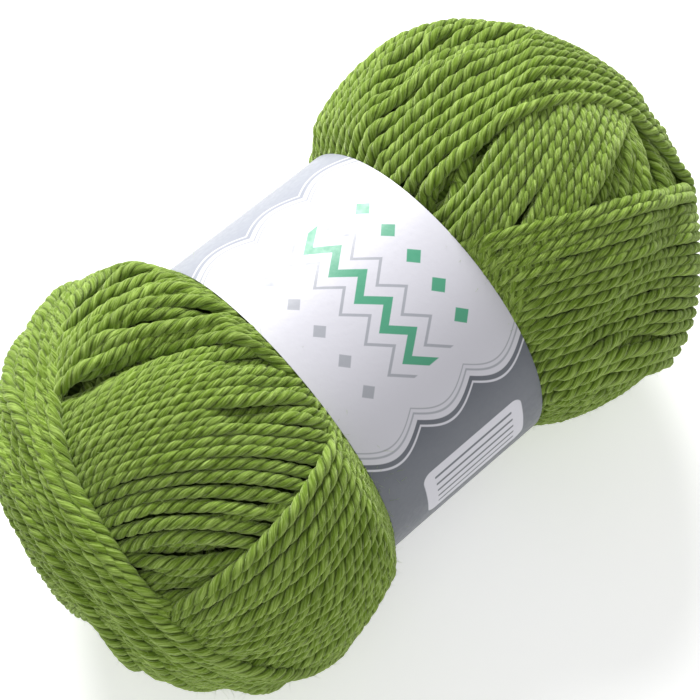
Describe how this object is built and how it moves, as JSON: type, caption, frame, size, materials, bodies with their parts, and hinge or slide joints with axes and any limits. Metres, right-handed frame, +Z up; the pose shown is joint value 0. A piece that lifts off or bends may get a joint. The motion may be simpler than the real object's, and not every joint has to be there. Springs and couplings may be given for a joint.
{
  "type": "ball of yarn",
  "caption": "Machine-wound centre-pull ball of plied yarn with two swellings and a waist, held by a wide paper ball band.",
  "frame": {"origin": "under the middle of the ball, on the surface that it lies on", "axes": "+X along the ball towards its larger end, +Z up"},
  "size_m": [0.1262, 0.0726, 0.0703],
  "materials": {
    "yarn": "matt plied acrylic yarn, leaf green, soft fuzz",
    "paper_band": "smooth coated paper, printed in slate grey on white"
  },
  "bodies": {
    "root": {"yarn_ball": "yarn", "ball_band": "paper_band"}
  },
  "joints": []
}
